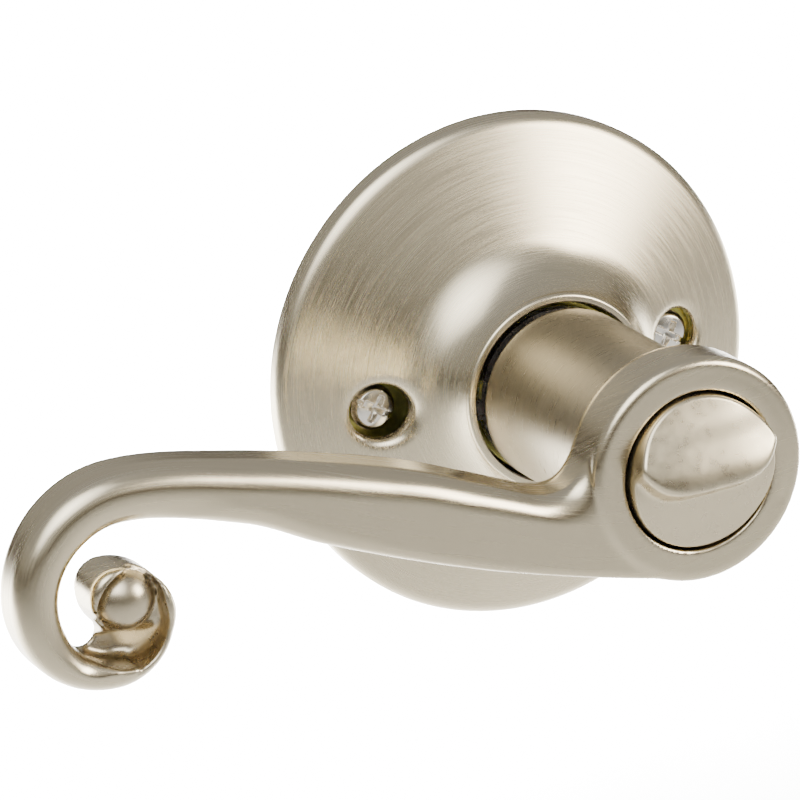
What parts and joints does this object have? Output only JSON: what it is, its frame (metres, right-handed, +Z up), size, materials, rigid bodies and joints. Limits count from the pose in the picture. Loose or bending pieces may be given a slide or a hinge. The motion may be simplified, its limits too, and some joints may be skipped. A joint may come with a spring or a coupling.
{
  "type": "door lever handle",
  "caption": "Scrolled door lever on a round flared rose, with a turn button in its head, spring-returned on a tubular hub.",
  "frame": {"origin": "centre of the rose's back face, on the door's surface", "axes": "+Z up, +Y into the door along the spindle, -X along the lever's arm"},
  "size_m": [0.1214, 0.1048, 0.0666],
  "materials": {
    "satin_nickel": "satin nickel plate, brushed round the axis",
    "satin_nickel_cast": "satin nickel plate on a zinc casting, brushed lengthwise",
    "yellow_zinc": "steel, yellow chromated zinc",
    "bright_zinc": "steel, bright zinc plate",
    "screw_steel": "nickel-plated steel screw",
    "spring_steel": "oiled spring steel",
    "dark_steel": "sintered steel, dark",
    "black_steel": "black oxide",
    "nylon_black": "black nylon"
  },
  "bodies": {
    "chassis": {"rose": "satin_nickel", "mounting_plate": "yellow_zinc", "spring_housing": "bright_zinc", "housing_rivets": "bright_zinc", "mounting_screws": "screw_steel", "hub_bushing": "nylon_black", "rose_clips": "spring_steel", "return_spring": "spring_steel"},
    "lever_assembly": {"lever": "satin_nickel_cast", "lever_set_screw": "black_steel", "drive_hub": "dark_steel", "driver_cam": "yellow_zinc", "cam_retaining_ring": "spring_steel", "hub_thrust_washer": "nylon_black", "wave_washer": "spring_steel", "hub_retaining_ring": "spring_steel", "spindle": "bright_zinc", "spindle_ring": "spring_steel", "button_spring_washer": "spring_steel"},
    "turn_assembly": {"turn_button": "satin_nickel_cast", "turn_bar": "bright_zinc", "turn_bar_pin": "dark_steel", "button_clip": "spring_steel"}
  },
  "joints": [
    {"name": "lever_turn", "type": "hinge", "parent": "chassis", "child": "lever_assembly", "pos_m": [0, 0, 0], "axis": [0, 1, 0], "range_deg": [-50, 50], "stiffness_Nm_per_rad": 2.5, "deforming": ["return_spring"]},
    {"name": "button_turn", "type": "hinge", "parent": "lever_assembly", "child": "turn_assembly", "pos_m": [0, 0, 0], "axis": [0, 1, 0], "range_deg": [0, 90]}
  ]
}
